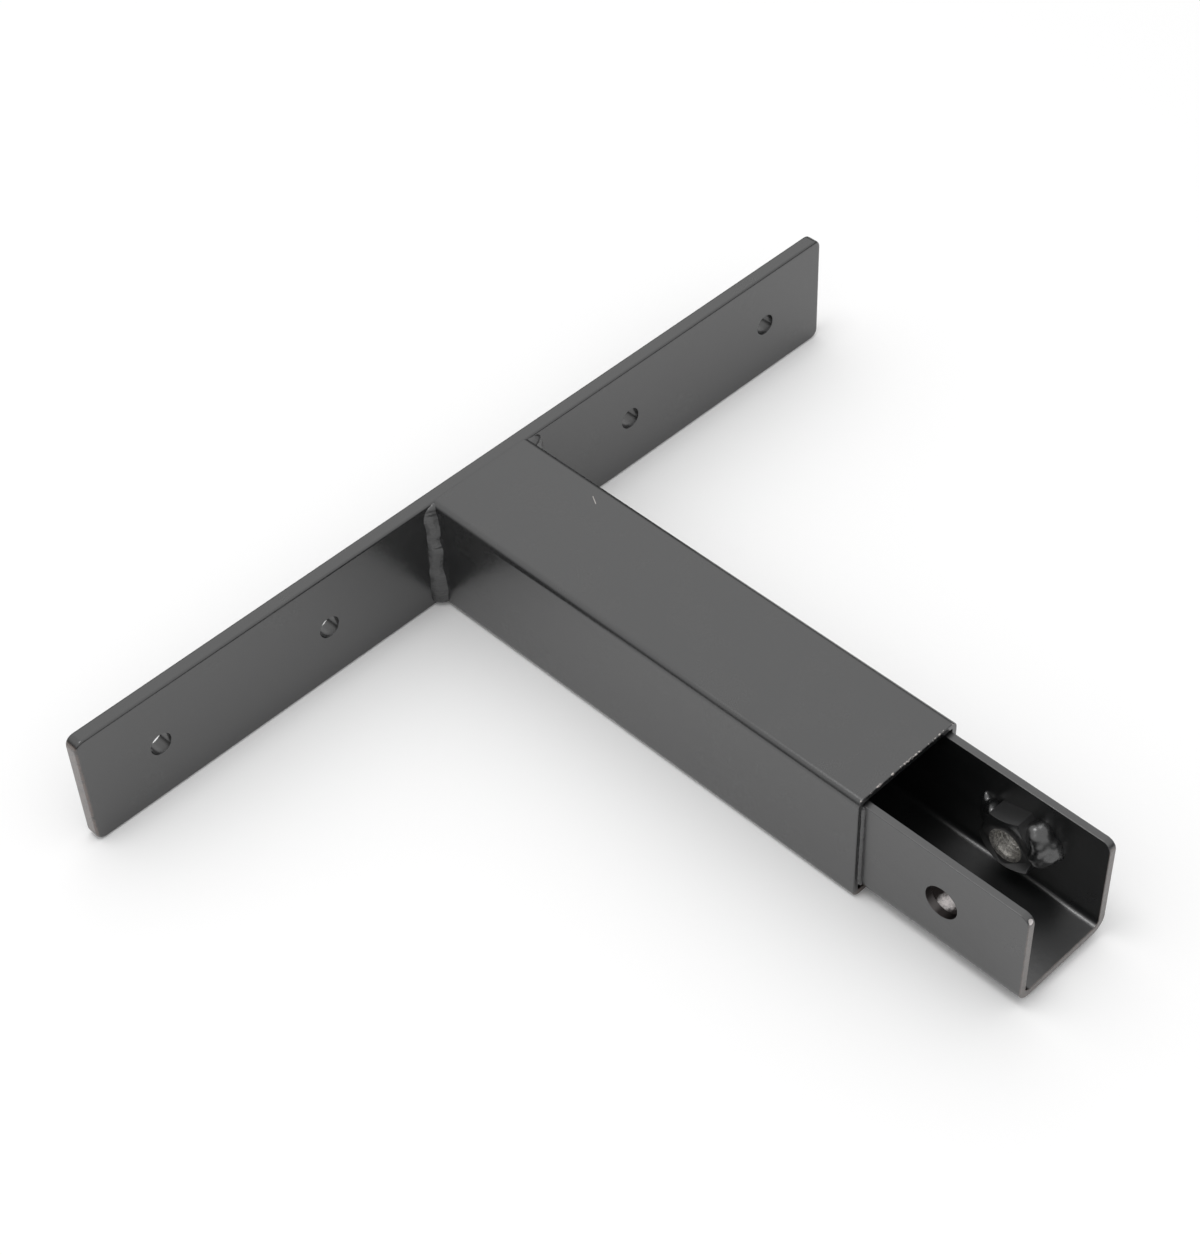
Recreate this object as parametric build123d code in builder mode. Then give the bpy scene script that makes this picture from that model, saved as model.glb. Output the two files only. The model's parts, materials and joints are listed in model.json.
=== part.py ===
from build123d import *
import os
from math import cos, pi, radians, sin, tan

# Welded steel bracket: a flat wall plate, a square tube that stands out from its middle, and
# a folded channel in the tube's mouth with a nut welded inside its far wall. Sizes are in
# millimetres. X runs along the plate, the arm points towards -Y and Z is up. The origin is
# the centre of the plate's back face, where the bracket meets the wall.

# Stock: the flat bar and the square tube have the same width, so they lie flush
stock_width = 40.0

# Wall plate
plate_length = 300.0
plate_thickness = 5.0
plate_corner_radius = 3.0
plate_edge_softening = 0.5
screw_hole_diameter = 7.0
inner_hole_spacing = 124.0
outer_hole_spacing = 248.0

# Arm tube
tube_length = 165.0
tube_wall = 2.0
tube_outer_corner_radius = 2.5
tube_inner_corner_radius = 0.5

# Channel, folded from one sheet and slid into the tube's mouth
channel_sheet = 2.5
channel_side_clearance = 0.1
channel_top_clearance = 0.9
channel_bend_radius = 2.0
channel_projection = 55.0
channel_insertion = 50.0
channel_corner_radius = 3.0
cross_hole_diameter = 10.5
cross_hole_setback = 27.5
cross_hole_height = 18.5

# Weld nut for an M10 screw
nut_across_flats = 17.0
nut_height = 7.0
nut_bore_diameter = 8.5
nut_countersink_diameter = 10.8
nut_countersink_angle = 120.0
nut_face_diameter = 16.2
nut_chamfer_angle = 30.0
nut_turn = 15.0

# Fillet beads between plate and tube: name, side of the tube, leg, and where the swell starts
plate_beads = (
    ("plate_weld_left", -1, 3.2, 0.0),
    ("plate_weld_right", 1, 4.6, 140.0),
)
bead_end_margin = 0.5
bead_crown = 0.5
bead_swell = 0.28
bead_swells = 3.5
bead_stations = 13

# Small bead at the tube's mouth, from near the channel's upper edge down round its bend
mouth_bead_leg = 1.0
mouth_bead_crown = 0.12
mouth_bead_top_margin = 1.6
mouth_bead_curl = 32.0

# Tacks between nut and channel: name, direction round the nut from +Y, reach and half width
nut_tacks = (
    ("nut_tack_inner", 24.0, 5.8, 3.3),
    ("nut_tack_outer", 160.0, 4.6, 5.0),
)
tack_shoulder_fullness = 0.78
tack_nose_fullness = 0.42

# Places that follow from the sizes
half_stock = stock_width / 2
plate_front = -plate_thickness
mouth = plate_front - tube_length
free_end = mouth - channel_projection
channel_length = channel_projection + channel_insertion
tube_inner_half = half_stock - tube_wall
channel_outer_half = tube_inner_half - channel_side_clearance
channel_inner_half = channel_outer_half - channel_sheet
channel_bottom = -channel_outer_half
channel_floor = channel_bottom + channel_sheet
channel_top = tube_inner_half - channel_top_clearance
hole_y = free_end + cross_hole_setback
hole_z = channel_bottom + cross_hole_height
nut_front = channel_inner_half - nut_height
nut_flat_radius = nut_across_flats / 2
nut_corner_radius = nut_flat_radius / cos(radians(30))

os.makedirs("parts", exist_ok=True)


def finish(builder, name):
    """Labels a finished piece and writes it to its own file."""
    builder.part.label = name
    export_step(builder.part, f"parts/{name}.step")


# Wall plate: a rounded bar outline with its four screw holes
with BuildPart() as wall_plate:
    with BuildSketch(Plane.XZ):
        RectangleRounded(plate_length, stock_width, plate_corner_radius)
        with GridLocations(inner_hole_spacing, 0, 2, 1):
            Circle(screw_hole_diameter / 2, mode=Mode.SUBTRACT)
        with GridLocations(outer_hole_spacing, 0, 2, 1):
            Circle(screw_hole_diameter / 2, mode=Mode.SUBTRACT)
    extrude(amount=plate_thickness)
    broad_faces = wall_plate.faces().filter_by(Axis.Y).sort_by(Axis.Y)
    outlines = broad_faces[0].outer_wire().edges() + broad_faces[-1].outer_wire().edges()
    chamfer(outlines, plate_edge_softening)
finish(wall_plate, "wall_plate")

# Arm tube: the square section runs from the plate's front face to the mouth
with BuildPart() as arm_tube:
    with BuildSketch(Plane.XZ.offset(-plate_front)):
        RectangleRounded(stock_width, stock_width, tube_outer_corner_radius)
        RectangleRounded(
            2 * tube_inner_half,
            2 * tube_inner_half,
            tube_inner_corner_radius,
            mode=Mode.SUBTRACT,
        )
    extrude(amount=tube_length)
finish(arm_tube, "arm_tube")

# End channel: the inner faces of the fold, thickened outwards by the sheet, then its rounded
# upper corners and the hole that crosses both walls
with BuildPart() as end_channel:
    with BuildSketch(Plane.XZ.offset(-free_end - channel_length)):
        with BuildLine():
            FilletPolyline(
                (-channel_inner_half, channel_top),
                (-channel_inner_half, channel_floor),
                (channel_inner_half, channel_floor),
                (channel_inner_half, channel_top),
                radius=channel_bend_radius,
            )
            offset(amount=channel_sheet, side=Side.RIGHT)
        make_face()
    extrude(amount=channel_length)
    upper_end_edges = end_channel.edges().filter_by(Axis.X).group_by(Axis.Y)[0]
    fillet(upper_end_edges.group_by(Axis.Z)[-1], channel_corner_radius)
    with BuildSketch(Plane.YZ.offset(-channel_outer_half)):
        with Locations((hole_y, hole_z)):
            Circle(cross_hole_diameter / 2)
    extrude(amount=2 * channel_outer_half, mode=Mode.SUBTRACT)
finish(end_channel, "end_channel")

# Weld nut: a hexagonal bar, cut by a turned outline that holds its front chamfer, its bore
# and the countersink at each end
nut_axis = Axis((channel_inner_half, hole_y, hole_z), (-1, 0, 0))
nut_side_view = Plane((channel_inner_half, hole_y, hole_z), x_dir=(-1, 0, 0), z_dir=(0, -1, 0))
with BuildPart() as weld_nut:
    with BuildSketch(Plane.YZ.offset(nut_front)):
        with Locations((hole_y, hole_z)):
            RegularPolygon(nut_flat_radius, 6, major_radius=False, rotation=90 + nut_turn)
    extrude(amount=nut_height)
    with BuildSketch(nut_side_view):
        bore_radius = nut_bore_diameter / 2
        sink_radius = nut_countersink_diameter / 2
        sink_depth = (sink_radius - bore_radius) / tan(radians(nut_countersink_angle / 2))
        face_radius = nut_face_diameter / 2
        chamfer_depth = (nut_corner_radius - face_radius) * tan(radians(nut_chamfer_angle))
        with BuildLine():
            Polyline(
                (0, sink_radius),
                (0, nut_corner_radius),
                (nut_height - chamfer_depth, nut_corner_radius),
                (nut_height, face_radius),
                (nut_height, sink_radius),
                (nut_height - sink_depth, bore_radius),
                (sink_depth, bore_radius),
                close=True,
            )
        make_face()
    revolve(axis=nut_axis, mode=Mode.INTERSECT)
finish(weld_nut, "weld_nut")

# Beads between plate and tube: a lumpy fillet, lofted through sections from bottom to top.
# Each section reaches halfway into the tube's wall, and the tube is then cut out of it, so
# that the bead follows the tube's rounded corners.
bead_length = stock_width - 2 * bead_end_margin
for bead_name, side, leg, start_angle in plate_beads:
    with BuildPart() as plate_bead:
        for station in range(bead_stations):
            share = station / (bead_stations - 1)
            height = bead_length * (share - 0.5)
            swell = 1 + bead_swell / 2 * sin(radians(start_angle) + 2 * pi * bead_swells * share)
            toe = leg * swell
            root_x = side * (half_stock - tube_wall / 2)
            crown_reach = toe / 2 + bead_crown
            with BuildSketch(Plane.XY.offset(height)):
                with BuildLine():
                    Polyline(
                        (side * half_stock, plate_front - toe),
                        (root_x, plate_front - toe),
                        (root_x, plate_front),
                        (side * (half_stock + toe), plate_front),
                    )
                    ThreePointArc(
                        (side * (half_stock + toe), plate_front),
                        (side * (half_stock + crown_reach), plate_front - crown_reach),
                        (side * half_stock, plate_front - toe),
                    )
                make_face()
        loft(ruled=True)
        add(arm_tube.part, mode=Mode.SUBTRACT)
    finish(plate_bead, bead_name)

# Bead at the mouth: a small fillet that runs down the channel's near side and curls under
# its bend, against the tube's end face
bend_outer_radius = channel_bend_radius + channel_sheet
bend_centre = (-channel_outer_half + bend_outer_radius, channel_bottom + bend_outer_radius)
bead_top = channel_top - mouth_bead_top_margin
with BuildPart() as mouth_weld:
    with BuildLine(Plane.XZ.offset(-mouth)):
        Line((-channel_outer_half, bead_top), (-channel_outer_half, bend_centre[1]))
        CenterArc(bend_centre, bend_outer_radius, 180, mouth_bead_curl)
    with BuildSketch(Plane.XY.offset(bead_top)):
        crown_place = mouth_bead_leg / 2 + mouth_bead_crown
        with BuildLine():
            Polyline(
                (-channel_outer_half, mouth - mouth_bead_leg),
                (-channel_outer_half, mouth),
                (-channel_outer_half - mouth_bead_leg, mouth),
            )
            ThreePointArc(
                (-channel_outer_half - mouth_bead_leg, mouth),
                (-channel_outer_half - crown_place, mouth - crown_place),
                (-channel_outer_half, mouth - mouth_bead_leg),
            )
        make_face()
    sweep()
finish(mouth_weld, "mouth_weld")

# Tacks: half a drop of weld metal each, lying on the channel's wall with its tip away from
# the nut, and cut to the nut's faces. Three straight runs draw the drop's outline.
tack_root = (nut_bore_diameter / 2 + nut_flat_radius) / 2
for tack_name, direction, reach, half_width in nut_tacks:
    along = (0, cos(radians(direction)), sin(radians(direction)))
    wall_point = (channel_inner_half, hole_y, hole_z)
    tack_tip = nut_flat_radius + reach
    tack_length = tack_tip - tack_root
    with BuildPart() as nut_tack:
        with BuildSketch(Plane(wall_point, x_dir=along, z_dir=(-1, 0, 0))):
            with BuildLine():
                Polyline(
                    (tack_root, 0),
                    (tack_root, half_width),
                    (tack_root + tack_length / 2, tack_shoulder_fullness * half_width),
                    (tack_root + tack_length * 0.85, tack_nose_fullness * half_width),
                    (tack_tip, 0),
                    close=True,
                )
            make_face()
        revolve(axis=Axis(wall_point, along), revolution_arc=180)
        add(weld_nut.part, mode=Mode.SUBTRACT)
    finish(nut_tack, tack_name)
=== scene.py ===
# %% [markdown]
# A welded display shelf bracket. On the real object a flat bar, a square tube and a folded
# channel are welded together, sprayed black and baked, and only the threads of the nut are
# kept bare. The frame already holds every piece at its true place and size, so this lesson
# gives each one the softened edges, weld texture, thread and finish that steel really has.

# %% Load the frame
import json
from math import atan2, ceil, cos, pi, radians, sin, tan

import bpy
from mathutils import Matrix, Vector, noise

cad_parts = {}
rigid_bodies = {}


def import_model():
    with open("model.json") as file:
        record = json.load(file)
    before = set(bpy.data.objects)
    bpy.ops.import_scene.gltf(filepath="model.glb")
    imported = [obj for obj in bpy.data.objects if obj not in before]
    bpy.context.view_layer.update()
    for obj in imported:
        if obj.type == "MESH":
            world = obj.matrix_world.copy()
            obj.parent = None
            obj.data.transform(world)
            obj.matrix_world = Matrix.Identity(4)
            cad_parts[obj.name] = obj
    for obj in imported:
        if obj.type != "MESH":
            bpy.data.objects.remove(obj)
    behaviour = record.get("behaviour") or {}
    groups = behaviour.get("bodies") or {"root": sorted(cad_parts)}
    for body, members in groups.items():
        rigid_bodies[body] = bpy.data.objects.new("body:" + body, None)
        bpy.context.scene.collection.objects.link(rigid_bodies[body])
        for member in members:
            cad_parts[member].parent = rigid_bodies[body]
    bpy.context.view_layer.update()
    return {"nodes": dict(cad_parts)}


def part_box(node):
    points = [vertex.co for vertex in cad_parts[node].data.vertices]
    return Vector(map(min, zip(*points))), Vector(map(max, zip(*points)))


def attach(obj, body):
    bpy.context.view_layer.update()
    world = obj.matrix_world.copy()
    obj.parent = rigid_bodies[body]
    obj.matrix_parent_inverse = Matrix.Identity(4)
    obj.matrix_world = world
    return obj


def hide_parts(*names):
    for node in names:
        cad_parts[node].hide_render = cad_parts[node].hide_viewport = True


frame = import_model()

print("nodes", sorted(frame["nodes"]))

# %% [markdown]
# Every place below is read from the frame's boxes, so a piece can't drift from the piece it
# stands for. Only sizes that a box doesn't show, such as a wall or a radius, are written.

# %% Places and sizes, in metres
mm = 0.001
plate_low, plate_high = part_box("wall_plate")
tube_low, tube_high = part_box("arm_tube")
channel_low, channel_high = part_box("end_channel")
nut_low, nut_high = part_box("weld_nut")

plate_front = plate_low.y
mouth = tube_low.y
free_end = channel_low.y
tube_side = tube_high.x
channel_side = channel_high.x
wall_inside = nut_high.x
nut_centre = (nut_low + nut_high) / 2
sheet = channel_side - wall_inside
tube_wall = 2 * mm
print("reach", round(-free_end / mm, 1), "mm, sheet", round(sheet / mm, 2), "mm")

# %% [markdown]
# Shader maths reads best as Python. A Wire wraps one output socket, and its operators add the
# Math nodes that work on it.


# %% Wires, for shader maths
class Wire:
    def __init__(self, recipe, socket):
        self.recipe = recipe
        self.socket = socket

    def maths(self, operation, *others):
        values = (self, *others)
        return self.recipe.node(
            "ShaderNodeMath", {"operation": operation}, dict(enumerate(values))
        )

    def __add__(self, other):
        return self.maths("ADD", other)

    def __sub__(self, other):
        return self.maths("SUBTRACT", other)

    def __rsub__(self, other):
        return self.recipe.node(
            "ShaderNodeMath", {"operation": "SUBTRACT"}, {0: other, 1: self}
        )

    def __mul__(self, other):
        return self.maths("MULTIPLY", other)

    def __truediv__(self, other):
        return self.maths("DIVIDE", other)

    __radd__ = __add__
    __rmul__ = __mul__

    def magnitude(self):
        return self.maths("ABSOLUTE")

    def rises(self, low, high):
        """0 below low, 1 above high and smooth between."""
        return self.recipe.node(
            "ShaderNodeMapRange",
            {"interpolation_type": "SMOOTHSTEP"},
            {"Value": self, "From Min": low, "From Max": high},
        )


print("wire operations", ", ".join(name for name in vars(Wire) if not name.startswith("__")))

# %% [markdown]
# A Recipe is one material, or the surround. Its node method adds any node and feeds it, and
# the short methods add what every coat needs: its place, grain, a mix and a bump.


# %% Recipes, for materials
class Recipe:
    def __init__(self, name, tree=None):
        if tree is None:
            self.material = bpy.data.materials.new(name)
            self.material.use_nodes = True
            tree = self.material.node_tree
        self.tree = tree
        self.shader = tree.nodes.get("Principled BSDF")

    def node(self, kind, settings=None, inputs=None, output=0):
        """Adds a node, sets it up, and links or sets its sockets."""
        node = self.tree.nodes.new(kind)
        for setting, value in (settings or {}).items():
            setattr(node, setting, value)
        for key, value in (inputs or {}).items():
            self.feed(node.inputs[key], value)
        return Wire(self, node.outputs[output])

    def feed(self, socket, value):
        if isinstance(value, Wire):
            self.tree.links.new(value.socket, socket)
        else:
            socket.default_value = value

    def place(self):
        """The place on the object, as one vector and as its three numbers."""
        here = self.node("ShaderNodeTexCoord", output=3)
        parts = self.node("ShaderNodeSeparateXYZ", inputs={0: here})
        outputs = parts.socket.node.outputs
        return here, [Wire(self, output) for output in outputs]

    def grain(self, here, size, detail=2.0, roughness=0.5):
        """Noise between 0 and 1 whose features are about size across."""
        return self.node(
            "ShaderNodeTexNoise",
            inputs={"Vector": here, "Scale": 1 / size, "Detail": detail, "Roughness": roughness},
        )

    def mix(self, factor, first, second):
        """A colour between two colours."""
        return self.node(
            "ShaderNodeMix", {"data_type": "RGBA"}, {0: factor, 6: first, 7: second}, output=2
        )

    def bump(self, height, depth, normal=None):
        inputs = {"Height": height, "Distance": depth}
        if normal is not None:
            inputs["Normal"] = normal
        return self.node("ShaderNodeBump", inputs=inputs)

    def fed(self, name):
        """What feeds a socket of the shader now: a wire, or else its own number."""
        socket = self.shader.inputs[name]
        return Wire(self, socket.links[0].from_socket) if socket.links else socket.default_value

    def set(self, **values):
        for name, value in values.items():
            self.feed(self.shader.inputs[name.replace("_", " ")], value)


print("recipe methods", ", ".join(name for name in vars(Recipe) if not name.startswith("__")))

# %% [markdown]
# Satin powder coat is black plastic baked on steel. What the eye sees is mostly a broad, soft
# reflection, broken by faint orange peel, with dust and small nibs in it. So the colour is
# very dark, and the work is in roughness and bump.

# %% Powder coat
coat_black = (0.006, 0.0064, 0.0068, 1)
coat_dust = (0.035, 0.034, 0.032, 1)
coat_gloss = 1.92
cloud_size = 14 * mm
nib_size = 0.9 * mm
peel_size = 1.6 * mm
peel_depth = 0.02 * mm
grain_size = 0.25 * mm
grain_depth = 0.006 * mm


def powder_coat(name, roughness, dust=0.35, gloss=coat_gloss):
    """The shared finish: black satin with peel, fine grain and a little dust."""
    coat = Recipe(name)
    here, axes = coat.place()
    cloud = coat.grain(here, cloud_size, detail=3)
    nibs = coat.grain(here, nib_size, detail=1).rises(0.70, 0.78)
    dusty = (cloud.rises(0.35, 0.8) * 0.35 + nibs * 0.5) * dust
    colour = coat.mix(dusty, coat_black, coat_dust)
    soft_peel = coat.grain(here, peel_size, detail=1)
    fine_grain = coat.grain(here, grain_size, detail=2)
    peeled = coat.bump(soft_peel, peel_depth)
    normal = coat.bump(fine_grain, grain_depth, peeled)
    rough = roughness + (cloud - 0.5) * 0.12 + (fine_grain - 0.5) * 0.05
    coat.set(Base_Color=colour, Roughness=rough, Normal=normal, IOR=gloss)
    return coat, here, axes


def count_nodes(material):
    print(material.name, len(material.node_tree.nodes), "nodes")


print("peel", round(peel_depth / mm, 3), "mm deep, grain", round(grain_depth / mm, 3), "mm deep")

# %% [markdown]
# Where a coat is knocked or rubbed off, bare metal shows, so its colour, its metal share and its
# roughness all change; in the channel's hole the same step paints shade and a highlight. A second
# step paints a warmer, paler tint on cut faces, a painted reflection of the table below them.

# %% Wear, painted shade and painted reflection
bare_steel = (0.62, 0.58, 0.55, 1)
warm_reflection_tint = (0.12, 0.085, 0.07, 1)


def bare(coat, mask, metal=bare_steel, polish=0.3):
    """Lets bare metal show through a coat where mask is 1; in the channel's hole it paints shade
    and a highlight.
    """
    rough = coat.fed("Roughness")
    coat.set(
        Base_Color=coat.mix(mask, coat.fed("Base Color"), metal),
        Metallic=mask.maths("MAXIMUM", coat.fed("Metallic")),
        Roughness=rough * (1 - mask) + polish * mask,
    )


def warm_reflection(coat, mask):
    """Paints a coat warmer and paler where mask is 1, a painted reflection of the table on cut
    faces.
    """
    coat.set(Base_Color=coat.mix(mask, coat.fed("Base Color"), warm_reflection_tint))


def between(value, middle, reach, blur):
    """1 where value lies within reach of middle, fading to 0 over blur."""
    return 1 - (value - middle).magnitude().rises(reach, reach + blur)


print("bare steel", bare_steel[:3], "thin coat", warm_reflection_tint[:3])

# %% [markdown]
# The bar's coat is plain. It is the smoothest surface, so it is where the peel shows. Its sawn
# ends are painted warmer and paler, a painted reflection of the table.


# %% Coat of the wall plate
def plate_coat():
    coat, here, (x, y, z) = powder_coat("plate_black_coat", roughness=0.25)
    cut_end = x.magnitude().rises(plate_high.x - 0.9 * mm, plate_high.x - 0.3 * mm)
    uneven = coat.grain(here, 2 * mm, detail=3).rises(0.2, 0.6)
    # Painted reflection: the sawn ends are tinted warmer and paler.
    warm_reflection(coat, cut_end * uneven * 0.8)
    return coat.material


plate_finish = plate_coat()
count_nodes(plate_finish)

# %% [markdown]
# The tube was cut with a saw, and its mouth is where the bracket gets knocked: the upper edge
# has lost its coat in small bright chips, most of them left of the middle. One fine scratch lies
# on its top near the plate. Its lower cut edge is painted warm and pale, a painted reflection of
# the shaded table.

# %% Coat of the arm tube
chip_size = 1.3 * mm
chipped_place = -6 * mm
chipped_reach = 5 * mm
scratch_place = Vector((13.75, -38.5, 20)) * mm
scratch_direction = radians(60)
scratch_half_length = 1.4 * mm
scratch_half_width = 0.06 * mm


def tube_coat():
    coat, here, (x, y, z) = powder_coat("tube_black_coat", roughness=0.26)
    at_mouth = between(y, mouth, 0.35 * mm, 0.2 * mm)
    at_top = z.rises(tube_high.z - 0.7 * mm, tube_high.z - 0.3 * mm)
    worn = between(x, chipped_place, chipped_reach, 6 * mm)
    flakes = coat.grain(here, chip_size, detail=3, roughness=0.7)
    chips = (flakes + worn * 0.07).rises(0.60, 0.63)
    over = x - scratch_place.x
    on = y - scratch_place.y
    across_it = over * -sin(scratch_direction) + on * cos(scratch_direction)
    along_it = over * cos(scratch_direction) + on * sin(scratch_direction)
    narrow = between(across_it, 0, scratch_half_width, 0.12 * mm)
    short = between(along_it, 0, scratch_half_length, 0.6 * mm)
    # Painted reflection: the lower wall's cut edge at the mouth is tinted warm and pale.
    cut_edge = between(y, mouth, 0.2 * mm, 0.2 * mm) * (1 - z.rises(-19 * mm, -17 * mm))
    warm_reflection(coat, cut_edge * 0.8)
    bare(coat, chips * at_mouth * at_top * 0.8 + narrow * short * at_top * 0.7)
    return coat.material


tube_finish = tube_coat()
count_nodes(tube_finish)

# %% [markdown]
# The channel's coat is the same, and its near corner is chipped. The hole's wall and the floor
# behind it are made dark metal, as painted shade, with a painted highlight on one side of the wall
# and a bright bare-metal patch on the floor. The free end's cut faces get a warmer tint, a painted
# reflection.

# %% Coat of the channel
# Bright steel: a real chip at the corner, a painted highlight in the hole and the floor patch.
chip_and_highlight_steel = (0.95, 0.90, 0.89, 1)
# Dark metal: painted shade in the cross hole and on the floor behind it.
painted_shade_steel = (0.03, 0.026, 0.025, 1)
hole_reach = 5.32 * mm
# Direction of the painted highlight round the hole's axis.
hole_highlight_direction = radians(-52)
bright_patch_place = Vector((-6.2, -191.3, -15.4)) * mm
bright_patch_half_width = 3.6 * mm
bright_patch_half_length = 3.3 * mm
hole_and_chip_polish = 0.5
corner_chip = Vector((-16.7, -224.4, 15.6)) * mm
corner_chip_reach = 0.7 * mm


def channel_coat():
    coat, here, (x, y, z) = powder_coat("channel_black_coat", roughness=0.3, dust=0.2, gloss=2.0)
    up, over = z - nut_centre.z, y - nut_centre.y
    from_axis = over * over + up * up
    near_side = 1 - x.rises(0, mm)
    in_hole = (1 - from_axis.rises(hole_reach ** 2, hole_reach ** 2 * 1.01)) * near_side
    highlight_side = over * cos(hole_highlight_direction) + up * sin(hole_highlight_direction)
    # Painted highlight: a lighter band on one side of the hole's wall.
    painted_highlight_wall = in_hole * highlight_side.rises(0.86 * hole_reach, hole_reach)
    blotch = coat.grain(here, mm, detail=4, roughness=0.7)
    right = (x - bright_patch_place.x) / bright_patch_half_width
    front = (y - bright_patch_place.y) / bright_patch_half_length
    on_floor = between(z, bright_patch_place.z, 0.2 * mm, 0.2 * mm)
    spread = right * right + front * front + (blotch - 0.5) * 1.5
    # A bright bare-metal patch on the floor behind the hole.
    bright_floor_patch = (1 - spread.rises(-0.2, 1.15)) * on_floor
    painted_shade_floor = (1 - spread.rises(3.0, 6.0)) * on_floor
    to_chip = coat.node(
        "ShaderNodeVectorMath", {"operation": "DISTANCE"}, {0: here, 1: corner_chip}, output=1
    )
    chip_edge = to_chip + (blotch - 0.5) * mm
    chip = 1 - chip_edge.rises(corner_chip_reach, corner_chip_reach + 0.2 * mm)
    at_end = 1 - y.rises(free_end + 0.15 * mm, free_end + 0.4 * mm)
    # Painted reflection: the cut faces at the free end are tinted warmer and paler.
    warm_reflection(coat, at_end * blotch.rises(0.25, 0.7) * 0.8)
    # Painted shade: the hole's wall and the floor round the patch are made dark metal.
    bare(coat, in_hole + painted_shade_floor, painted_shade_steel, hole_and_chip_polish)
    # Painted highlight on the hole's wall, the bright floor patch, and the real chip at the
    # corner.
    bare(coat, painted_highlight_wall * 0.1 + bright_floor_patch + chip * 0.7, chip_and_highlight_steel, hole_and_chip_polish)
    return coat.material


channel_finish = channel_coat()
count_nodes(channel_finish)

# %% [markdown]
# The nut was plated before it was welded in. Powder covers its outside thinly, and a plug
# kept its thread clean, so the bore is still bare grey zinc, mottled with use.

# %% Finishes of the nut
zinc_blotch_size = 1.1 * mm
zinc_speckle_size = 0.5 * mm
zinc_dull = (0.20, 0.195, 0.185, 1)
zinc_bright = (0.66, 0.64, 0.60, 1)


def nut_coat():
    coat, here, axes = powder_coat("nut_black_coat", roughness=0.32, dust=0.6)
    return coat.material


def nut_zinc():
    zinc = Recipe("nut_bare_zinc")
    here, axes = zinc.place()
    blotch = zinc.grain(here, zinc_blotch_size, detail=4, roughness=0.65)
    speckle = zinc.grain(here, zinc_speckle_size, detail=3, roughness=0.7)
    worn = (blotch + speckle) * 0.5
    colour = zinc.mix(worn.rises(0.36, 0.66), zinc_dull, zinc_bright)
    normal = zinc.bump(speckle, 0.06 * mm)
    zinc.set(Base_Color=colour, Roughness=0.4 + blotch * 0.3, Metallic=0.9, Normal=normal)
    return zinc.material


nut_finish = nut_coat()
zinc_finish = nut_zinc()
count_nodes(nut_finish)
count_nodes(zinc_finish)

# %% [markdown]
# Powder lies over the weld metal as it does over the steel. It is only a little dustier,
# because the relief of the beads holds dust.


# %% Coat over weld metal
def weld_coat():
    coat, here, axes = powder_coat("weld_black_coat", roughness=0.28, dust=0.4)
    return coat.material


weld_finish = weld_coat()
count_nodes(weld_finish)

# %% [markdown]
# Blender's operators act on whatever is selected, so these small helpers keep the selection
# honest. Each primitive is added alone and its place is written into its mesh at once.


# %% Helpers for primitives
def deselect():
    bpy.ops.object.select_all(action="DESELECT")


def settle(name):
    """Names the fresh primitive and writes its place, turn and scale into its mesh."""
    made = bpy.context.object
    made.name = name
    bpy.ops.object.transform_apply(location=True, rotation=True, scale=True)
    return made


def block(name, low, high):
    deselect()
    bpy.ops.mesh.primitive_cube_add(size=1, location=(low + high) / 2)
    bpy.context.object.scale = high - low
    return settle(name)


def rod(name, centre, radius, length, direction, sides=64, end_radius=None):
    """A cylinder, or a cone frustum if it has an end radius, that points along direction."""
    deselect()
    turn = Vector(direction).to_track_quat("Z", "Y").to_euler()
    bpy.ops.mesh.primitive_cone_add(
        vertices=sides,
        radius1=radius,
        radius2=radius if end_radius is None else end_radius,
        depth=length,
        location=centre,
        rotation=turn,
    )
    return settle(name)


print("helpers for primitives, in Blender", bpy.app.version_string)

# %% [markdown]
# Only some edges get rounded and only some faces get opened. So they are picked by where
# they lie and where they point, as a worker would mark them on the steel.


# %% Helpers for picking edges and faces
def activate(piece):
    deselect()
    piece.select_set(True)
    bpy.context.view_layer.objects.active = piece


def pick(piece, kind, test):
    """Enters edit mode with the edges or faces whose centre and direction pass test."""
    activate(piece)
    bpy.ops.object.mode_set(mode="EDIT")
    bpy.ops.mesh.select_mode(type=kind)
    bpy.ops.mesh.select_all(action="DESELECT")
    bpy.ops.object.mode_set(mode="OBJECT")
    mesh = piece.data
    if kind == "FACE":
        for face in mesh.polygons:
            face.select = test(face.center, face.normal)
    else:
        for edge in mesh.edges:
            start, end = (mesh.vertices[i].co for i in edge.vertices)
            edge.select = test((start + end) / 2, (end - start).normalized())
    bpy.ops.object.mode_set(mode="EDIT")


def leave_edit():
    bpy.ops.object.mode_set(mode="OBJECT")


print("helpers for picking by centre and direction")

# %% [markdown]
# Drilling and rounding are done by modifiers. Each is applied at once, so that the next
# step works on the finished mesh, as the next tool works on the finished steel.


# %% Helpers for cutting and rounding
def modify(piece, kind, **settings):
    """Adds a modifier with its settings and applies it."""
    activate(piece)
    modifier = piece.modifiers.new(kind, kind)
    for setting, value in settings.items():
        setattr(modifier, setting, value)
    bpy.ops.object.modifier_apply(modifier=modifier.name)


def cut(piece, tool, operation="DIFFERENCE"):
    modify(piece, "BOOLEAN", operation=operation, solver="EXACT", object=tool)
    bpy.data.objects.remove(tool)


def soften(piece, radius, segments=3, angle=radians(35)):
    """Rounds every sharp edge a little, as blasting and a coat of powder do."""
    activate(piece)
    bpy.ops.object.shade_smooth_by_angle(angle=angle)
    modify(
        piece,
        "BEVEL",
        width=radius,
        segments=segments,
        limit_method="ANGLE",
        angle_limit=angle,
        harden_normals=True,
    )


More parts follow.
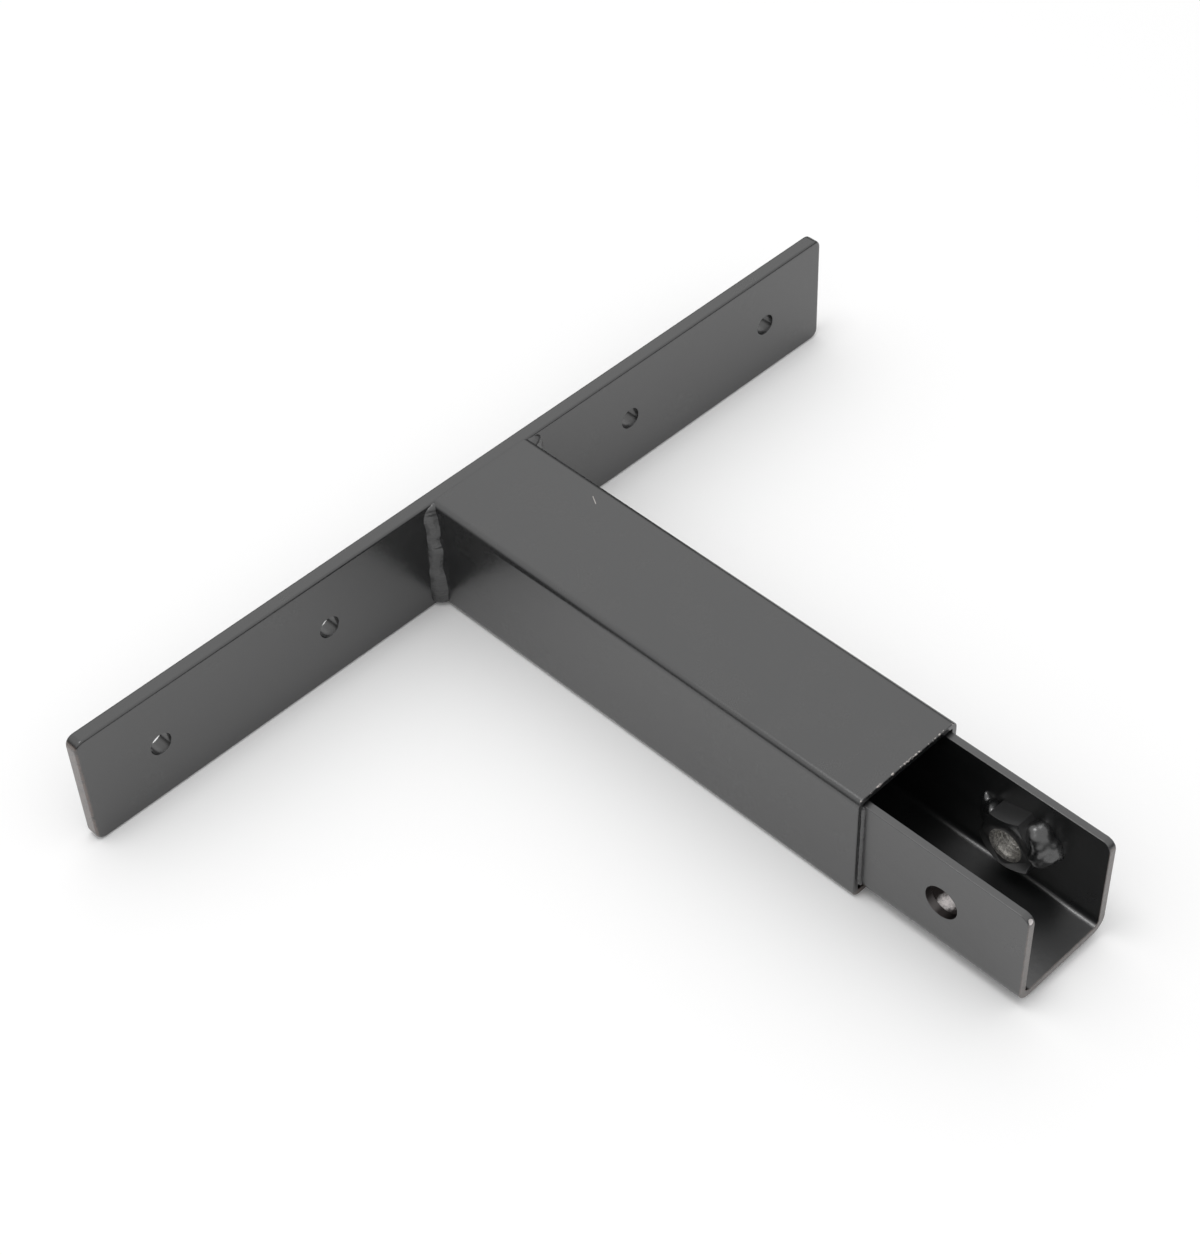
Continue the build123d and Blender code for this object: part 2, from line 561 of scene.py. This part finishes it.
def count(piece):
    print(piece.name, len(piece.data.vertices), "vertices", len(piece.data.polygons), "faces")


print("helpers for cutting, rounding and counting")

# %% [markdown]
# The wall plate is a length of rolled flat bar, so its long edges are clearly rounded. A block
# gets its corners and its outline rounded while it is still simple, then the drill makes four
# holes with crisper rims. Weighted normals keep the broad faces flat.

# %% Wall plate
plate_corner = 3 * mm
plate_edge = 0.9 * mm
hole_edge = 0.3 * mm
screw_hole = 3.5 * mm
screw_hole_places = [side * spacing for side in (-1, 1) for spacing in (62 * mm, 124 * mm)]


def make_plate():
    plate = block("wall_plate_bar", plate_low, plate_high)
    pick(plate, "EDGE", lambda centre, along: abs(along.y) > 0.9)
    bpy.ops.mesh.bevel(offset=plate_corner, segments=8, affect="EDGES")
    leave_edit()
    pick(plate, "EDGE", lambda centre, along: abs(along.y) < 0.1)
    bpy.ops.mesh.bevel(offset=plate_edge, segments=4, affect="EDGES")
    leave_edit()
    middle = (plate_low + plate_high) / 2
    thickness = plate_high.y - plate_low.y
    for x in screw_hole_places:
        cut(plate, rod("drill", (x, middle.y, middle.z), screw_hole, 2 * thickness, (0, 1, 0)))
    soften(plate, hole_edge)
    modify(plate, "WEIGHTED_NORMAL", keep_sharp=True)
    return plate


plate = make_plate()
count(plate)

# %% [markdown]
# The arm is a square tube. Both end faces of a rounded block are inset by the wall, and a
# bridge between the two inner faces makes the hollow, right through. Its welded end reaches
# into the plate's softened edge, because on the real one weld metal fills that groove and is
# ground flush.

# %% Arm tube
tube_corner = 2.5 * mm
tube_edge = 0.3 * mm
weld_in = 0.9 * mm


def make_tube():
    end = Vector((tube_high.x, plate_front + weld_in, tube_high.z))
    tube = block("arm_tube_section", tube_low, end)
    pick(tube, "EDGE", lambda centre, along: abs(along.y) > 0.9)
    bpy.ops.mesh.bevel(offset=tube_corner, segments=8, affect="EDGES")
    leave_edit()
    pick(tube, "FACE", lambda centre, normal: abs(normal.y) > 0.9)
    bpy.ops.mesh.inset(thickness=tube_wall, use_even_offset=True)
    bpy.ops.mesh.bridge_edge_loops()
    leave_edit()
    soften(tube, tube_edge)
    return tube


tube = make_tube()
count(tube)

# %% [markdown]
# The channel is one folded sheet, so it is made as a sheet: an open shell with its two bends
# bevelled in, given its thickness by Solidify. The corners, the cross hole and the soft cut
# edges follow, in the order of the workshop.

# %% End channel
bend_outer = 4.5 * mm
channel_corner = 3 * mm
channel_edge = 0.25 * mm
cross_hole = 5.25 * mm


def make_channel():
    channel = block("end_channel_fold", channel_low, channel_high)
    pick(channel, "FACE", lambda centre, normal: normal.z > 0.9 or abs(normal.y) > 0.9)
    bpy.ops.mesh.delete(type="FACE")
    leave_edit()
    low_edge = channel_low.z + mm
    pick(channel, "EDGE", lambda centre, along: abs(along.y) > 0.9 and centre.z < low_edge)
    bpy.ops.mesh.bevel(offset=bend_outer, segments=10, affect="EDGES")
    leave_edit()
    modify(channel, "SOLIDIFY", thickness=sheet, offset=-1, use_even_offset=True)

    def upper_end(centre, along):
        return abs(along.x) > 0.9 and centre.z > channel_high.z - mm and centre.y < free_end + mm

    pick(channel, "EDGE", upper_end)
    bpy.ops.mesh.bevel(offset=channel_corner, segments=8, affect="EDGES")
    leave_edit()
    hole_place = (0, nut_centre.y, nut_centre.z)
    cut(channel, rod("drill", hole_place, cross_hole, 4 * channel_side, (1, 0, 0), sides=96))
    soften(channel, channel_edge)
    return channel


channel = make_channel()
count(channel)

# %% [markdown]
# A thread is a strip that winds round an axis. A flat grid is rolled up by moving its points:
# one direction of the grid becomes the turns, the other the profile of one groove. Its turns
# are merged, its ends cut flat and closed, and the solid works as a tap that cuts the nut.

# %% Tap for the nut's thread
thread_pitch = 1.5 * mm
thread_minor = 4.25 * mm
thread_major = 4.55 * mm
thread_steps = 48
# Share of one pitch and share of the groove's depth, round one groove
groove = ((0, 0), (0.25, 0), (0.5625, 1), (0.6875, 1), (1, 0))


def make_tap(start, end):
    """A tap along X from start to end, through the nut's axis."""
    turns = ceil((end - start) / thread_pitch) + 2
    deselect()
    bpy.ops.mesh.primitive_grid_add(
        x_subdivisions=turns * thread_steps, y_subdivisions=len(groove) - 1, size=1
    )
    tap = settle("tap")
    for vertex in tap.data.vertices:
        turned = (vertex.co.x + 0.5) * turns
        share, depth = groove[round((vertex.co.y + 0.5) * (len(groove) - 1))]
        radius = thread_minor + depth * (thread_major - thread_minor)
        angle = 2 * pi * turned
        vertex.co = (
            start + thread_pitch * (turned + share - 1.5),
            nut_centre.y + radius * cos(angle),
            nut_centre.z + radius * sin(angle),
        )
    activate(tap)
    bpy.ops.object.mode_set(mode="EDIT")
    bpy.ops.mesh.select_all(action="SELECT")
    bpy.ops.mesh.remove_doubles(threshold=0.002 * mm)
    for place, keep in ((start, -1), (end, 1)):
        bpy.ops.mesh.select_all(action="SELECT")
        bpy.ops.mesh.bisect(
            plane_co=(place, 0, 0), plane_no=(keep, 0, 0), use_fill=True, clear_outer=True
        )
    bpy.ops.mesh.select_all(action="SELECT")
    bpy.ops.mesh.normals_make_consistent(inside=False)
    leave_edit()
    return tap


thread_depth = thread_major - thread_minor
print("pitch", round(thread_pitch / mm, 2), "mm, depth", round(thread_depth / mm, 2), "mm")

# %% [markdown]
# The nut starts as a six-sided bar. A turned blank takes its front corners off at 30 degrees,
# a cone opens each end of the bore, and the tap cuts the thread. The tools bring the bare
# zinc with them, because a cut face takes the material of the tool that cut it.

# %% Weld nut
nut_flat_radius = 8.5 * mm
nut_corner_radius = nut_flat_radius / cos(radians(30))
nut_face_radius = 8.1 * mm
nut_chamfer_angle = radians(30)
nut_sink_radius = 5.4 * mm
nut_sink_angle = radians(60)
nut_corner_direction = radians(105)
nut_edge = 0.35 * mm
overshoot = 0.5 * mm


def turn_to_corner(piece, direction):
    """Turns a six-sided bar about the nut's axis until a corner points in a direction."""
    corner = piece.data.vertices[0].co - nut_centre
    missing = direction - atan2(corner.z, corner.y)
    centre = Matrix.Translation(nut_centre)
    piece.data.transform(centre @ Matrix.Rotation(missing, 4, "X") @ centre.inverted())


def make_nut(coat, zinc):
    height = nut_high.x - nut_low.x
    nut = rod("weld_nut_hexagon", nut_centre, nut_corner_radius, height, (-1, 0, 0), sides=6)
    turn_to_corner(nut, nut_corner_direction)
    nut.data.materials.append(coat)
    nut.data.materials.append(zinc)

    chamfer = (nut_corner_radius - nut_face_radius) * tan(nut_chamfer_angle)
    body_length = height - chamfer
    body_centre = nut_centre + Vector((chamfer / 2, 0, 0))
    blank = rod("blank", body_centre, nut_corner_radius * 1.001, body_length, (-1, 0, 0), 128)
    pick(blank, "FACE", lambda centre, normal: normal.x < -0.9)
    bpy.ops.mesh.extrude_region_move(TRANSFORM_OT_translate={"value": (-chamfer, 0, 0)})
    shrink = nut_face_radius / nut_corner_radius
    bpy.ops.transform.resize(value=(1, shrink, shrink), center_override=nut_centre)
    leave_edit()
    blank.data.materials.append(coat)
    cut(nut, blank, "INTERSECT")

    tap = make_tap(nut_low.x - overshoot, nut_high.x + overshoot)
    tap.data.materials.append(zinc)
    cut(nut, tap)

    sink_depth = (nut_sink_radius - thread_minor) / tan(nut_sink_angle)
    length = sink_depth + overshoot
    slope = (nut_sink_radius - thread_minor) / sink_depth
    wide = nut_sink_radius + slope * overshoot
    for face_x, outward in ((nut_low.x, -1), (nut_high.x, 1)):
        middle_x = face_x + outward * (overshoot - sink_depth) / 2
        centre = Vector((middle_x, nut_centre.y, nut_centre.z))
        cone = rod("sink", centre, thread_minor, length, (outward, 0, 0), 96, end_radius=wide)
        cone.data.materials.append(zinc)
        cut(nut, cone)
    soften(nut, nut_edge, segments=2, angle=radians(40))
    return nut


nut = make_nut(nut_finish, zinc_finish)
count(nut)

# %% [markdown]
# Weld metal freezes in overlapping drops. Spheres are set where the drops fell, squashed as
# they lay, and joined; a voxel remesh melts them into one skin, smoothing lets them flow, and
# noise roughens the skin. The part that would lie inside the steel is cut off flat.


# %% Weld metal
def weld_metal(name, drops, voxel, smoothing, lumps, cuts=()):
    """One skin over drops, each a centre and three radii; cuts are planes to trim at."""
    deselect()
    for centre, radii in drops:
        bpy.ops.mesh.primitive_uv_sphere_add(segments=20, ring_count=14, radius=1, location=centre)
        bpy.context.object.scale = radii
        bpy.context.object.name = "drop"
    for piece in bpy.data.objects:
        piece.select_set(piece.name.startswith("drop"))
    bpy.ops.object.join()
    bead = settle(name)
    modify(bead, "REMESH", mode="VOXEL", voxel_size=voxel)
    modify(bead, "SMOOTH", factor=0.5, iterations=smoothing)
    size, depth = lumps
    vertices = bead.data.vertices
    outwards = [vertex.normal.copy() for vertex in vertices]
    for vertex, outward in zip(vertices, outwards):
        vertex.co += outward * depth * noise.fractal(vertex.co / size, 0.8, 2.0, 3)
    activate(bead)
    bpy.ops.object.mode_set(mode="EDIT")
    for place, direction in cuts:
        bpy.ops.mesh.select_all(action="SELECT")
        bpy.ops.mesh.bisect(plane_co=place, plane_no=direction, use_fill=True, clear_outer=True)
    leave_edit()
    bpy.ops.object.shade_smooth_by_angle(angle=radians(60))
    return bead


def along(stations, height):
    """The leg between two stations, each a height and a leg, at a height."""
    for (low, low_leg), (high, high_leg) in zip(stations, stations[1:]):
        if low <= height <= high:
            share = (height - low) / (high - low)
            smooth = share * share * (3 - 2 * share)
            return low_leg + smooth * (high_leg - low_leg)
    return stations[0][1] if height < stations[0][0] else stations[-1][1]


print("halfway between legs of 2 and 4 lies", along(((0, 2), (1, 4)), 0.5))

# %% [markdown]
# A fillet fills the corner between plate and tube. Each drop is centred behind the corner, so
# that only its flat cap shows, and its legs along plate and tube follow the bead's own lumps.

# %% Beads between plate and tube
drop_depth = 0.6
drop_reach = 1.709
bead_margin = 2.2 * mm
bead_drops = 34
bead_voxel = 0.22 * mm
bead_smoothing = 16
bead_lumps = (2.6 * mm, 0.10 * mm)
left_tube_legs = [(h * mm, leg * mm) for h, leg in (
    (-19.5, 3.4), (-14, 3.8), (-9, 3.5), (-5, 2.4), (0, 2.9), (3, 3.4), (6.5, 2.3), (11, 3.0),
    (15, 2.4), (19.5, 1.4),
)]
left_plate_legs = [(h * mm, leg * mm) for h, leg in (
    (-19.5, 3.3), (-10, 3.7), (0, 3.3), (9, 3.1), (15, 3.6), (19.5, 2.8),
)]
right_tube_legs = [(h * mm, leg * mm) for h, leg in (
    (-19.5, 3.2), (-12, 4.2), (-4, 3.4), (4, 4.0), (12, 3.5), (19.5, 3.0),
)]
right_plate_legs = [(h * mm, leg * mm) for h, leg in (
    (-19.5, 3.6), (-8, 4.8), (2, 4.2), (12, 4.9), (19.5, 4.4),
)]


def plate_bead(name, side, tube_legs, plate_legs):
    bottom, top = plate_low.z + bead_margin, plate_high.z - bead_margin
    drops = []
    for step in range(bead_drops):
        height = bottom + (top - bottom) * step / (bead_drops - 1)
        on_plate = along(plate_legs, height)
        on_tube = along(tube_legs, height)
        sway = 0.02 * sin(5.3 * step)
        centre = (
            side * (tube_side - drop_depth * on_plate),
            plate_front + drop_depth * on_tube,
            height,
        )
        thick = (2.0 + 0.25 * sin(2.1 * step)) * mm
        drops.append((
            centre,
            (drop_reach * on_plate * (1 + sway), drop_reach * on_tube * (1 + sway), thick),
        ))
    cuts = (
        ((side * (tube_side - tube_wall / 2), 0, 0), (-side, 0, 0)),
        ((0, plate_front + tube_wall / 2, 0), (0, 1, 0)),
    )
    return weld_metal(name, drops, bead_voxel, bead_smoothing, bead_lumps, cuts)


bead_left = plate_bead("plate_bead_left", -1, left_tube_legs, left_plate_legs)
bead_right = plate_bead("plate_bead_right", 1, right_tube_legs, right_plate_legs)
count(bead_left)
count(bead_right)

# %% [markdown]
# The bead at the mouth is thin. It runs down the channel's near side and curls under its
# bend, so its drops follow a straight line and then an arc.

# %% Bead at the mouth
mouth_leg = 0.75 * mm
mouth_bead_top = channel_high.z - 1.6 * mm
mouth_bead_curl = radians(32)
mouth_step = 0.35 * mm
mouth_voxel = 0.14 * mm
mouth_smoothing = 5
mouth_lumps = (1.5 * mm, 0.04 * mm)


def mouth_bead():
    bend_z = channel_low.z + bend_outer
    bend_x = -channel_side + bend_outer
    straight = mouth_bead_top - bend_z
    length = straight + bend_outer * mouth_bead_curl
    drops = []
    for number in range(int(length / mouth_step) + 1):
        run = number * mouth_step
        leg = mouth_leg * (1 + 0.08 * sin(0.31 * number) + 0.04 * sin(0.9 * number))
        if run <= straight:
            x, z, outward_x, outward_z = -channel_side, mouth_bead_top - run, -1, 0
        else:
            turned = (run - straight) / bend_outer
            outward_x, outward_z = -cos(turned), -sin(turned)
            x, z = bend_x + bend_outer * outward_x, bend_z + bend_outer * outward_z
        centre = (
            x - drop_depth * leg * outward_x,
            mouth + drop_depth * leg,
            z - drop_depth * leg * outward_z,
        )
        drops.append((centre, (drop_reach * leg, drop_reach * leg, drop_reach * leg)))
    cuts = (((0, mouth + tube_wall / 2, 0), (0, 1, 0)),)
    return weld_metal("mouth_bead", drops, mouth_voxel, mouth_smoothing, mouth_lumps, cuts)


bead_mouth = mouth_bead()
count(bead_mouth)

# %% [markdown]
# Two tacks hold the nut. Each drop is given by its direction round the nut, its distance from
# the nut's axis, its height off the wall and its size, which is how a welder would point. The
# arc leaves a small crater where it stops, so the larger tack is dented there.


# %% Tacks at the nut
def round_nut(direction, distance, height):
    return Vector((
        wall_inside - height * mm,
        nut_centre.y + distance * mm * cos(radians(direction)),
        nut_centre.z + distance * mm * sin(radians(direction)),
    ))


inner_drops = (
    (22.7, 13.6, 0.0, 0.8), (20, 12.9, 0.2, 1.3), (16, 12.0, 0.6, 1.7), (12, 11.2, 0.9, 2.0),
    (8, 10.4, 1.2, 2.2), (3, 9.6, 1.5, 2.3), (0, 9.0, 2.0, 2.2),
    (26, 9.4, 2.2, 1.9), (30, 9.0, 3.4, 1.4), (20, 9.6, 1.4, 2.2),
)
outer_drops = (
    (136, 9.6, 0.8, 2.8), (132, 8.9, 2.6, 2.5), (140, 9.2, 3.8, 2.3), (150, 9.6, 2.2, 3.2),
    (156, 9.4, 4.0, 2.7), (163, 9.0, 4.8, 2.3), (168, 8.6, 5.6, 1.7), (160, 10.8, 1.2, 2.9),
    (168, 11.4, 0.9, 2.5), (174, 12.1, 0.5, 1.9), (178, 12.6, 0.1, 1.3), (176, 10.2, 2.2, 2.9),
    (186, 9.6, 2.2, 2.6), (190, 9.2, 3.2, 2.2), (182, 9.0, 4.2, 2.2),
)
outer_crater = (159, 10.8, 4.4, 1.7)
crater_depth = 0.6 * mm
# What smoothing takes off a drop, added to each size before
flow = 0.35
tack_voxel = 0.2 * mm
tack_smoothing = 110
tack_lumps = (2.2 * mm, 0.03 * mm)


def nut_tack(name, drops, crater=None):
    placed = [
        (round_nut(direction, distance, height), [(size + flow) * mm] * 3)
        for direction, distance, height, size in drops
    ]
    cuts = (((wall_inside + sheet / 5, 0, 0), (1, 0, 0)),)
    tack = weld_metal(name, placed, tack_voxel, tack_smoothing, tack_lumps, cuts)
    if crater is not None:
        direction, distance, height, size = crater
        centre = round_nut(direction, distance, height)
        for vertex in tack.data.vertices:
            reach = (vertex.co - centre).length / (size * mm)
            if reach < 1:
                vertex.co.x += crater_depth * (1 - reach * reach) ** 2
    return tack


tack_inner = nut_tack("nut_tack_inner_drop", inner_drops)
tack_outer = nut_tack("nut_tack_outer_drop", outer_drops, outer_crater)
count(tack_inner)
count(tack_outer)

# %% [markdown]
# Each finished piece now gets its finish, rides on the bracket's only body and says which
# piece of the frame it stands for.


# %% Finishes and places in the frame
def fit_out(piece, material, slot, node):
    if material is not None:
        piece.data.materials.clear()
        piece.data.materials.append(material)
    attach(piece, "root")
    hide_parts(node)
    print(piece.name, "stands for", node, "with finish", slot)


fit_out(plate, plate_finish, "plate_coat", "wall_plate")
fit_out(tube, tube_finish, "tube_coat", "arm_tube")
fit_out(channel, channel_finish, "channel_coat", "end_channel")
fit_out(nut, None, "nut_coat", "weld_nut")
fit_out(bead_left, weld_finish, "weld_coat", "plate_weld_left")
fit_out(bead_right, weld_finish, "weld_coat", "plate_weld_right")
fit_out(bead_mouth, weld_finish, "weld_coat", "mouth_weld")
fit_out(tack_inner, weld_finish, "weld_coat", "nut_tack_inner")
fit_out(tack_outer, weld_finish, "weld_coat", "nut_tack_outer")

# %% [markdown]
# The floor is a plain pale table. It looks white to the camera, and keeps the soft shadow
# that the bracket throws.

# %% Floor
floor_size = 6.0
floor_gap = 0.02 * mm
floor_white = (0.86, 0.86, 0.86, 1)
seen_white = (1.0, 1.0, 1.0, 1)


def make_floor():
    deselect()
    bpy.ops.mesh.primitive_plane_add(size=floor_size, location=(0, 0, plate_low.z - floor_gap))
    floor = settle("floor")
    table = Recipe("table_white")
    path = table.node("ShaderNodeLightPath").socket.node
    rays = [Wire(table, path.outputs[name]) for name in ("Is Camera Ray", "Is Glossy Ray")]
    seen = (rays[0] + rays[1]).maths("MINIMUM", 1.0)
    table.set(Base_Color=table.mix(seen, floor_white, seen_white), Roughness=0.9)
    table.shader.inputs["Specular IOR Level"].default_value = 0.0
    floor.data.materials.append(table.material)
    return floor


floor = make_floor()
print(floor.name, floor_size, "m wide, at", round((plate_low.z - floor_gap) / mm, 2), "mm")

# %% [markdown]
# A studio is bright overhead and dim towards the walls, and black satin shows both: faces that
# mirror the ceiling or the table look grey, and rounded edges that mirror the walls keep a
# dark line. So the surround is a simple sky that brightens with height, which the camera itself
# sees as white, and a broad lamp overhead adds the soft grey of the upper faces.

# %% Surround and lamps
wall_light = 0.16
ceiling_light = 0.98
walls_end = 0.15
ceiling_starts = 0.62


def make_surround():
    world = bpy.data.worlds.new("surround")
    bpy.context.scene.world = world
    world.use_nodes = True
    sky = Recipe("surround", world.node_tree)
    direction = sky.node("ShaderNodeTexCoord", output=0)
    height = sky.node("ShaderNodeSeparateXYZ", inputs={0: direction}, output=2)
    strength = wall_light + height.rises(walls_end, ceiling_starts) * (ceiling_light - wall_light)
    camera_ray = sky.node("ShaderNodeLightPath", output=0)
    strength = strength + (1 - strength) * camera_ray
    background = world.node_tree.nodes["Background"]
    background.inputs["Color"].default_value = seen_white
    sky.feed(background.inputs["Strength"], strength)


def lamp(name, direction, distance, size, power):
    """A square lamp that looks at the middle of the arm from a direction."""
    deselect()
    target = Vector((0, mouth / 2, 0))
    way = Vector(direction).normalized()
    bpy.ops.object.light_add(type="AREA", location=target + way * distance)
    made = bpy.context.object
    made.name = name
    made.rotation_euler = way.to_track_quat("Z", "Y").to_euler()
    made.data.size = size
    made.data.energy = power
    print(name, power, "W,", distance, "m away")


make_surround()
lamp("overhead_softbox", direction=(0.47, 0.51, 0.72), distance=1.5, size=1.1, power=0.6)
lamp("key_lamp", direction=(-0.2, 0.1, 0.97), distance=1.3, size=0.42, power=3.0)

# %% [markdown]
# The camera stands where the photographer stood: its place, its aim and its small roll were
# worked out from the bracket's straight edges. The lens is for a picture 1200 pixels wide.

# %% Camera
camera_place = Vector((-365.7, -445.7, 545.7)) * mm
camera_aim = Vector((-8.35, -62.1, 0)) * mm
camera_roll = radians(-2.68)
camera_lens = 78.74
camera_sensor = 36.0


def make_camera():
    deselect()
    bpy.ops.object.camera_add(location=camera_place)
    camera = bpy.context.object
    level = (camera_place - camera_aim).to_track_quat("Z", "Y").to_matrix()
    camera.rotation_euler = (level @ Matrix.Rotation(camera_roll, 3, "Z")).to_euler()
    camera.data.sensor_fit = "HORIZONTAL"
    camera.data.sensor_width = camera_sensor
    camera.data.lens = camera_lens
    bpy.context.scene.camera = camera
    return camera


camera = make_camera()
bpy.context.scene.view_settings.view_transform = "Standard"
print(camera.name, "looks from", [round(place, 1) for place in camera.location / mm], "mm")

# %% [markdown]
